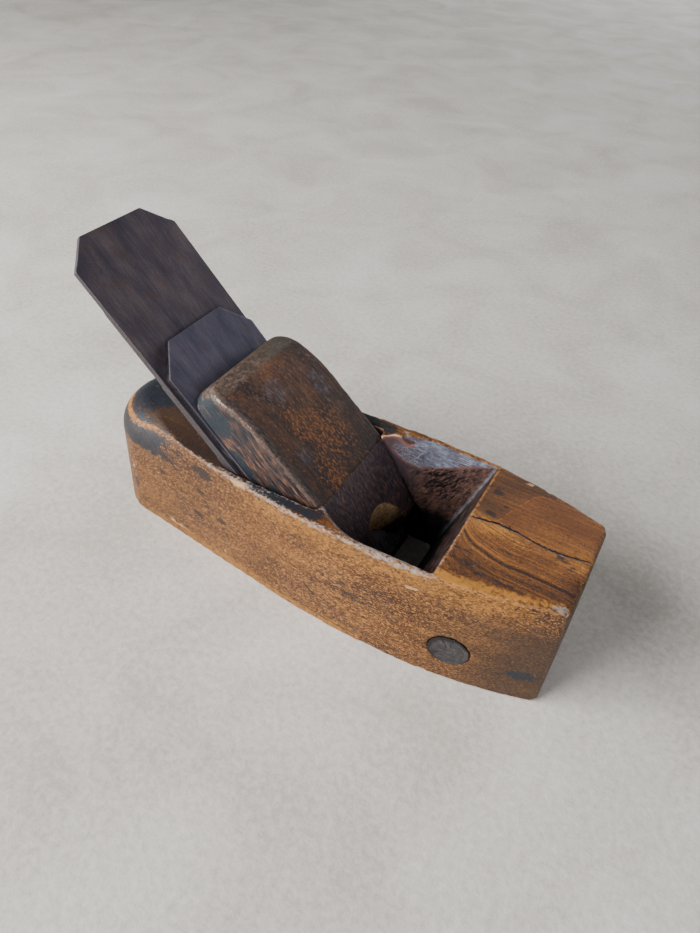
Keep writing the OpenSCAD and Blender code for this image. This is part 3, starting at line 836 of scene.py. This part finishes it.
def browned(face, side):
    """Browned iron, with the tones of its face and of its narrow sides from dark to light."""
    def build(tree):
        at = on_face(tree)
        mottle = lumps(tree, stretched(tree, at, (0.4, 1, 1)), 0.09, 5.0, 0.62, 0.3)
        fine = lumps(tree, at, 1.3, 3.0, 0.65)
        brush = lumps(tree, stretched(tree, at, (0.05, 1, 1)), 1.1, 3.0, 0.6)
        value = mixed(tree, (mottle, 0.6), (fine, 0.2), (brush, 0.2))
        colour = shades(tree, value, *zip((0.38, 0.50, 0.64), face))
        flank = shades(tree, fine, (0.3, side[0]), (0.7, side[1]))
        colour = blend(tree, kept(tree, "side"), colour, flank)
        # the lower end of the cap iron painted bright: polish with a painted sheen
        polish_and_sheen = times(tree, kept(tree, "polish_and_sheen"), step(tree, brush, 0.3, 0.6))
        colour = coat(tree, polish_and_sheen, colour, (186, 184, 196), 0.7)
        rust = patches(tree, at, 0.36, 0.12, 1.5, 0.12)
        colour = coat(tree, rust, colour, (96, 74, 64), 0.4)
        worn = patches(tree, at, "wear", 0.5, 0.8, 0.25)
        colour = coat(tree, worn, colour, (140, 138, 144), 0.7)
        colour = coat(tree, scratches(tree, at, 0.3, 0.5), colour, (128, 122, 126), 0.45)
        height = plus(tree, mottle, times(tree, fine, 0.5))
        return {
            "Base Color": colour, "Metallic": 0.45,
            "Roughness": plus(tree, 0.40, times(tree, fine, 0.28)),
            "Normal": relief(tree, height, 0.0003, 0.5),
        }
    return build


def plug_finish(tree):
    at = in_mm(tree)
    x, _, z = parts_of(tree, at)
    across = minus(tree, x, PLUG_X)
    rise = minus(tree, z, PLUG_Z)
    away = calc(tree, "SQRT", plus(tree, times(tree, across, across), times(tree, rise, rise)))
    turn = calc(tree, "ARCTAN2", rise, across)
    # cracks run out from the middle, and rings lie round it
    wave = lumps(tree, at, 0.5, 3.0)
    round_it = plus(tree, times(tree, turn, 1.6), wave)
    spokes = lumps(tree, joined(tree, round_it, 0.0, 3.0), 1.0, 2.0)
    cracks = times(tree, step(tree, spokes, 0.57, 0.63), step(tree, away, 0.5, 3.0))
    rings = lumps(tree, joined(tree, plus(tree, away, wave), 0.0, 0.0), 1.6, 3.0)
    grime = lumps(tree, at, 0.35, 4.0, 0.6)
    colour = shades(
        tree, mixed(tree, (rings, 0.4), (grime, 0.6)),
        (0.38, tone(38, 36, 39)), (0.5, tone(56, 53, 55)), (0.64, tone(80, 75, 73)))
    colour = coat(tree, cracks, colour, (26, 24, 26), 0.85)
    # the gap round the plug is widest and darkest on its upper side towards the heel
    slant = minus(tree, rise, across)
    gap = plus(tree, away, plus(tree, times(tree, wave, 2.4), times(tree, slant, 0.07)))
    lee = calc(tree, "ADD", 0.35, step(tree, slant, -8.0, 4.0), clamp=True)
    shadow = times(tree, step(tree, gap, *PLUG_GAP), lee)
    colour = coat(tree, shadow, colour, (20, 18, 18), 0.95)
    height = minus(tree, rings, times(tree, cracks, 2.0))
    return {"Base Color": colour, "Roughness": 0.62, "Normal": relief(tree, height, 0.0004, 0.7)}


def small_metal(dark, light, metallic, rough):
    """A finish for the small metal pieces, with tarnish between two colours."""
    def build(tree):
        at = in_mm(tree)
        tarnish = lumps(tree, at, 0.4, 5.0, 0.62, 0.4)
        fine = lumps(tree, at, 2.0, 3.0, 0.6)
        colour = shades(tree, tarnish, (0.38, dark), (0.64, light))
        bright = (*(1.6 * c for c in light), 1)
        colour = blend(tree, times(tree, scratches(tree, at, 0.6, 0.6), 0.5), colour, bright)
        return {
            "Base Color": colour, "Metallic": metallic,
            "Roughness": plus(tree, rough, times(tree, fine, 0.25)),
            "Normal": relief(tree, fine, 0.0002, 0.4),
        }
    return build


STOCK_WOOD = finish("worn_beech", stock_finish)
WEDGE_WOOD = finish("dark_beech", wedge_finish)
IRON = finish("browned_iron", browned(
    (tone(69, 62, 76), tone(87, 78, 88), tone(114, 101, 103)),
    (tone(58, 54, 56), tone(84, 80, 80))))
# The cap iron's narrow sides are painted near black, as painted shade between the iron and the
# wedge
CAP = finish("browned_cap", browned(
    (tone(77, 74, 92), tone(95, 91, 108), tone(122, 114, 124)),
    (tone(12, 11, 13), tone(28, 26, 29))))
SMALL_PIECES = {
    "side_plug": finish("plug_end_grain", plug_finish),
    "steel_facing": finish("ground_steel", small_metal(
        tone(84, 84, 92), tone(132, 132, 140), metallic=0.7, rough=0.34)),
    "cap_nut": finish("tarnished_brass", small_metal(
        tone(96, 74, 40), tone(168, 136, 78), metallic=0.8, rough=0.32)),
    "cap_screw": finish("browned_screw", small_metal(
        tone(66, 58, 58), tone(104, 94, 92), metallic=0.6, rough=0.4)),
}


def shave_heel(co):
    """Takes the heel's top corners down by hand: the end leans in a little and its arris is broad,
    runs round both corners and dies away along the flanks."""
    x, y, z = co.T
    side = np.where(y < 0, -1.0, 1.0)
    up = np.clip(z / STOCK_HEIGHT, 0, 1)
    corner_radius = (CORNER_RADIUS + CORNER_GAIN * up) * MM
    above = np.clip(z - (STOCK_HEIGHT - HEEL_ARRIS), 0, HEEL_ARRIS)
    inset = HEEL_ARRIS - np.sqrt(HEEL_ARRIS ** 2 - above ** 2)
    middle_x = HEEL_X + HEEL_LEAN * up + corner_radius

    def flank(at_x):
        return TAPER_HALF - (TAPER_X - at_x) * FLANK_TAPER

    # along the flanks
    fade = np.clip((HEEL_FADE_X - x) / (HEEL_FADE_X - middle_x), 0, 1) ** 4
    y -= side * np.maximum(np.abs(y) - flank(x) + inset * fade, 0) * (fade > 0)
    # round the corners and across the end
    middle_y = flank(middle_x) - corner_radius * CORNER_SLANT
    dx = np.minimum(x - middle_x, 0)
    dy = np.maximum(np.abs(y) - middle_y, 0)
    reach = np.maximum(np.hypot(dx, dy), 1e-6)
    over = np.maximum(reach - corner_radius + inset, 0) * (x < middle_x)
    x -= dx / reach * over
    y -= side * dy / reach * over


def in_throat(x, y, z, nz):
    """1 on the walls of the throat, 0 on the outside of the stock."""
    breast_x = BREAST_X + z / BREAST_SLOPE
    bed_x = BED_X - z / BED_SLOPE
    half = np.where(x > CHEEK_FROM_X, CHEEK_HALF - (CHEEK_TO_X - x) * CHEEK_FLARE, MORTISE_HALF)
    inside = (
        ease_mm(-0.5, 0.2, x - bed_x) * ease_mm(-1.4, -0.7, breast_x - x)
        * ease_mm(-0.9, 0.1, half + 1.2 * MM - np.abs(y)))
    return inside * ease(0.85, 0.5, nz * (z > 55.5 * MM))


def near_rim(x, y, z):
    """The near rim of the stock, from behind the iron to the breast."""
    return (y < 0) * ease_mm(52, 55, z) * ease_mm(-75, -50, x) * ease_mm(66, 52, x)


def stock_piece():
    work = Workpiece("stock", "worn_stock", STOCK_GRID)
    work.co = work.softened(2)
    shave_heel(work.co)
    out = work.rounding(14)
    lump = cloud(work.co, size=6 * MM, seed=11)
    work.wear_down(14, ease_mm(0.05, 0.5, out) * np.clip(0.55 + 0.5 * lump, 0, 1))
    x, y, z = work.co.T
    work.wear_down(60, ease_mm(58, 100, x) * ease_mm(46, 50, z) * (y < -8 * MM))
    wear = ease_mm(0.02, 0.5, out)
    work.break_chips(size=3.5, seed=23, wear=wear, depth=0.45)

    # the throat, its splays and the top, where nx, ny and nz say which way the surface looks
    nx, ny, nz = work.normals().T
    inside = in_throat(x, y, z, nz)
    work.mark("inside", inside)
    # sooty black and painted shade: darker down towards the mouth and on the breast, which faces
    # the heel
    work.mark("soot_and_shade", 0.18 + 0.82 * ease_mm(32, 12, z) + 0.4 * ease(-0.4, -0.8, nx))
    work.mark("gouges", 0.42 * spots(work.co, GOUGE_PLACES) + 0.14)
    splay = ease(0.3, 0.45, nz) * ease(0.5, 0.7, np.abs(ny))
    splay = splay * (np.sign(y) != np.sign(ny))
    splay *= (x > 5 * MM) * (x < 60 * MM) * (z > 35 * MM)
    work.mark("splay", splay)
    edge = work.spread(5, splay)
    work.mark("ridge", ease(0.4, 0.85, 4 * edge * (1 - edge)) * ease_mm(56, 54.5, z)
              * (x < 58 * MM))
    work.mark("eye", (y > 15 * MM) * ease_mm(51, 53, z) * ease_mm(6, 8, x) * ease_mm(24, 22, x))
    work.mark("top", ease(0.75, 0.92, nz) * ease_mm(54.5, 56.2, z))
    work.mark("hollow", ease_mm(0.05, 0.6, -out))

    toe_top = ease_mm(56, 60, x) * ease_mm(56, 56.8, z)
    crack = np.abs(y - line_at(x, CRACK))
    work.co[:, 2] -= CRACK_DEPTH * toe_top * ease_mm(0.9, 0.2, crack)

    # golden bands, then the shade: low on the near side towards the toe, weaker towards the heel,
    # and on the toe's end
    near = ease(-0.3, -0.8, ny) * (y < 0)
    low_edge = near * ease_mm(11, 2, z) * ease_mm(-110, -80, x) * ease_mm(70, 20, x)
    shoulder = near * ease_mm(38, 52, z) * ease_mm(112, 80, x) * ease_mm(-60, 0, x)
    heel_band = ease(0.62, 0.68, nz) * ease(0.8, 0.74, nz) * ease_mm(-60, -80, x)
    rim_band = toe_top * ease_mm(6.5, 2.5, line_at(x, TOE_FLANK) + y)
    work.mark_share(
        "gold", low_edge * 0.7 + shoulder * 0.55 + heel_band * 0.62 + rim_band * 0.7)
    side_shade = ease_mm(52, 98, x) * ease_mm(52, 36, z) + 0.25 * ease_mm(-20, -70, x)
    work.mark_share("shade", near * side_shade + ease(0.5, 0.9, nx) * 0.9)

    # stains and paint; the heel's top is stained dark, partly as a painted shadow of the iron
    heel_top_stain_and_shadow = ease(0.74, 0.84, nz) * ease_mm(-20, -30, x) * ease_mm(44, 50, z)
    abutments = ease_mm(24, 26, np.abs(y)) * ease_mm(18, 8, x) * ease_mm(-30, -20, x)
    abutments *= ease(0.7, 0.9, nz) * ease_mm(33.5, 32, np.abs(y))
    stain = 0.75 * spots(work.co, STAIN_PLACES) + 0.28 * spots(work.co, BROAD_STAIN_PLACES)
    work.mark_share("stain", stain + heel_top_stain_and_shadow * 1.3 + abutments)
    under_arris = ease(-0.2, -0.6, ny) * (y < 0) * ease_mm(41, 46, z) * ease(0.68, 0.6, nz)
    under_arris *= ease_mm(-52, -80, x) * ease_mm(-105, -102, x)
    off_arris = ease(0.74, 0.82, np.where(x < -30 * MM, nz, 1))
    painted = spots(work.co, PAINT_PLACES) * 1.1 * off_arris
    work.mark_share("paint", under_arris * 0.9 + painted + abutments * 0.6)

    # wear, grime and chips
    heel_part = ease_mm(-60, -85, x)
    off_plug = ease_mm(9, 10.5, np.hypot(x - PLUG_X * MM, z - PLUG_Z * MM))
    work.mark("wear", wear * (1 - 0.5 * heel_part) * (1 - 0.8 * inside) * off_plug
              * (1 - 0.6 * abutments))
    rim = ease(0.1, 0.4, work.spread(16, wear)) * near_rim(x, y, z)
    rim = rim * (0.8 + 0.3 * ease_mm(10, 40, x))
    toe_rim = wear * (y < 0) * ease_mm(54, 62, x) * ease_mm(46, 52, z)
    # the last part darkens a band along the foot of the near side
    work.mark_share("grime", rim * 0.36 + toe_rim * 0.4 + 0.5 * wear * heel_part * (z > 30 * MM)
                    + 0.25 * ease_mm(7, 1, z) * near)
    # pale wear, and a painted highlight along the near rim and at the glints of the pale places
    work.mark_share("pale", rim * 0.55 + 0.7 * spots(work.co, PALE_PLACES))
    work.mark_share("chip", 0.8 * spots(work.co, CHIP_PLACES) + wear * ease_mm(3, 1, z) * 0.45)
    work.done("stock", STOCK_WOOD)


def wedge_piece():
    """The wedge. On its bench X runs up the iron's face and Y towards the near side."""
    work = Workpiece("wedge", "worn_wedge", SMALL_GRID, FACE_BENCH)
    work.co = work.softened(2)
    out = work.rounding(20)
    work.wear_down(20, ease_mm(0.05, 0.5, out), 0.9)
    wear = ease_mm(0.02, 0.5, out)
    work.break_chips(size=3, seed=31, wear=wear, depth=0.35)
    work.mark_face_places()
    up, y, off = work.co.T
    nx, ny, nz = work.normals().T
    near_arris = ease(0.05, 0.2, work.spread(80, wear)) * (y > 8 * MM) * ease_mm(50, 56, up)
    near_arris = near_arris * (off > 8 * MM)
    work.mark_share("wear", np.maximum(wear * 0.7, near_arris * 0.72))
    near_side = ease(0.25, 0.6, ny + 0.5 * ease_mm(17.5, 23, y)) * (off > 3 * MM)
    work.mark("side", 0.9 * near_side + 0.9 * ease(0.55, 0.85, -ny))
    front = ease(0.3, 0.7, nz)
    work.mark_share("ember", front * (0.16 + 0.27 * spots(work.co, EMBER_PLACES)))
    below = ease_mm(52.5, 50.5, up) * ease(0.2, 0.6, nz)
    work.mark_share("stain", below + spots(work.co, WEDGE_STAIN_PLACES) * 0.5)
    painted = ease(0.6, 0.9, ny) * spots(work.co, WEDGE_PAINT_PLACES) * 1.2
    work.mark_share("paint", painted + ease_mm(108.5, 110, up) * ease_mm(9, 5, off))
    work.mark("end", 0.95 * ease_mm(104, 107.5, up) * (nz > -0.2))
    # pale worn feet, and painted glints at the given places
    far_foot = 0.5 * ease(-0.2, -0.5, ny) * wear * ease_mm(56, 50, up)
    pale = spots(work.co, WEDGE_GLINT_PLACES) + far_foot
    work.mark("pale", wear * 0.8 * np.clip(pale, 0, 1))
    work.mark("arch", ease(0.35, 0.6, -nx) * (up < ARCH_TO)
              * (np.abs(y - ARCH_OFF) < ARCH_HALF) * (up > ARCH_FROM))
    work.done("wedge", WEDGE_WOOD)


def iron_piece(node, name, body, material, polish_and_sheen, wear):
    work = Workpiece(node, name, SMALL_GRID, FACE_BENCH)
    work.co = work.softened(1)
    out = work.rounding(5)
    nx, ny, _ = work.normals().T
    work.mark("side", ease(0.8, 0.95, np.hypot(nx, ny)))
    # bright polish with a painted sheen on the lower end of the iron
    work.mark("polish_and_sheen", ease_mm(42, 30, work.co[:, 0]) * polish_and_sheen)
    work.mark("wear", ease_mm(0.03, 0.3, out) * wear)
    work.mark_face_places()
    work.done(body, material)


stock_piece()
wedge_piece()
iron_piece("cutting_iron", "old_iron", "iron", IRON, polish_and_sheen=0, wear=1.0)
iron_piece("cap_iron", "old_cap_iron", "cap", CAP, polish_and_sheen=1, wear=0.15)
for name, material in SMALL_PIECES.items():
    carried = frame["nodes"][name]
    carried.data.materials.clear()
    carried.data.materials.append(material)


def floor_finish(tree):
    at = in_mm(tree)
    cloudy = lumps(tree, at, 0.014, 4.0, 0.6, 0.6)
    fine = lumps(tree, at, 0.35, 4.0, 0.7)
    value = mixed(tree, (cloudy, 0.5), (fine, 0.5))
    colour = shades(
        tree, value, (0.38, (0.53, 0.49, 0.44)), (0.5, (0.65, 0.61, 0.56)),
        (0.62, (0.76, 0.72, 0.68)))
    return {"Base Color": colour, "Roughness": 0.9, "Normal": relief(tree, value, 0.002, 0.25)}


def floor_piece():
    me = bpy.data.meshes.new("floor")
    corners = [(x * FLOOR_HALF, y * FLOOR_HALF, 0) for x, y in ((-1, -1), (1, -1), (1, 1), (-1, 1))]
    me.from_pydata(corners, [], [(0, 1, 2, 3)])
    me.materials.append(finish("pale_floor", floor_finish))
    ob = placed("floor", me)


def soft_light(name, place, size, power, colour):
    lamp = bpy.data.lights.new(name, "AREA")
    lamp.shape = "RECTANGLE"
    lamp.size, lamp.size_y = size
    lamp.energy = power
    lamp.color = colour
    ob = placed(name, lamp)
    ob.location = place
    ob.rotation_euler = (Vector(LIGHT_AIM) - Vector(place)).to_track_quat("-Z", "Y").to_euler()


def sky(strength, colour):
    world = bpy.data.worlds.new("studio")
    world.use_nodes = True
    background = world.node_tree.nodes["Background"].inputs
    background[0].default_value = (*colour, 1)
    background[1].default_value = strength
    bpy.context.scene.world = world


def photo_camera():
    turn, tilt, roll = (math.radians(v) for v in CAMERA_TURNS)
    ahead = Vector((
        -math.sin(turn) * math.cos(tilt), math.cos(turn) * math.cos(tilt), -math.sin(tilt)))
    right = Vector((math.cos(turn), math.sin(turn), 0))
    up = right.cross(ahead)
    across = math.cos(roll) * right + math.sin(roll) * up
    rise = math.cos(roll) * up - math.sin(roll) * right
    lens = bpy.data.cameras.new("photo_camera")
    lens.sensor_fit = "AUTO"
    lens.sensor_width = SENSOR
    lens.lens = FOCAL_LENGTH / PICTURE_HEIGHT * SENSOR
    lens.clip_start, lens.clip_end = CAMERA_SIGHT
    ob = placed("photo_camera", lens)
    place = Matrix((across, rise, -ahead)).transposed().to_4x4()
    place.translation = Vector(CAMERA_PLACE)
    ob.matrix_world = place
    bpy.context.scene.camera = ob


floor_piece()
sky(strength=0.065, colour=(0.94, 0.96, 1.0))
soft_light("window", place=(-0.86, -0.80, 0.74), size=(1.2, 0.9), power=48,
           colour=(1.0, 0.99, 0.98))
for name, place, size, power in (
        ("fill", (1.2, -1.1, 0.6), (1.4, 0.9), 13),
        ("back_fill", (0.3, 1.9, 0.65), (2.2, 0.8), 16)):
    soft_light(name, place, size, power, colour=(0.96, 0.98, 1.0))
photo_camera()
